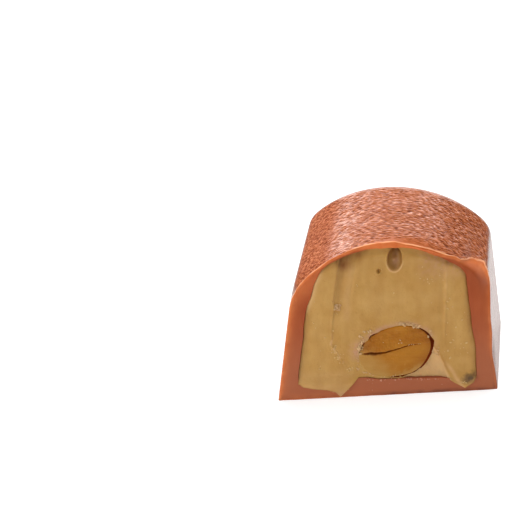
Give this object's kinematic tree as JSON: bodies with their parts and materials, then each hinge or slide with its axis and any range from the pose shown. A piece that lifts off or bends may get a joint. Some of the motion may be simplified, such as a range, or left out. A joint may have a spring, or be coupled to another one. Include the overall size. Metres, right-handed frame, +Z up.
{
  "type": "cut chocolate praline",
  "caption": "Moulded chocolate praline cut across: an arched milk chocolate shell with a fine leathery top, a soft hazelnut filling and a halved hazelnut at the cut face.",
  "frame": {"origin": "on the surface it stands on, under the middle of its box", "axes": "+Z up, +X across the praline's width, the cut face towards -Y and the end wall towards +Y"},
  "size_m": [0.026, 0.0218, 0.0206],
  "materials": {
    "milk_chocolate": "satin milk chocolate, fine leathery grain on the arched top",
    "hazelnut_filling": "soft waxy nut cream with knife marks",
    "hazelnut_kernel": "roasted nut flesh, slightly oily"
  },
  "bodies": {
    "root": {"shell": "milk_chocolate", "filling": "hazelnut_filling", "nut": "hazelnut_kernel"}
  },
  "joints": []
}
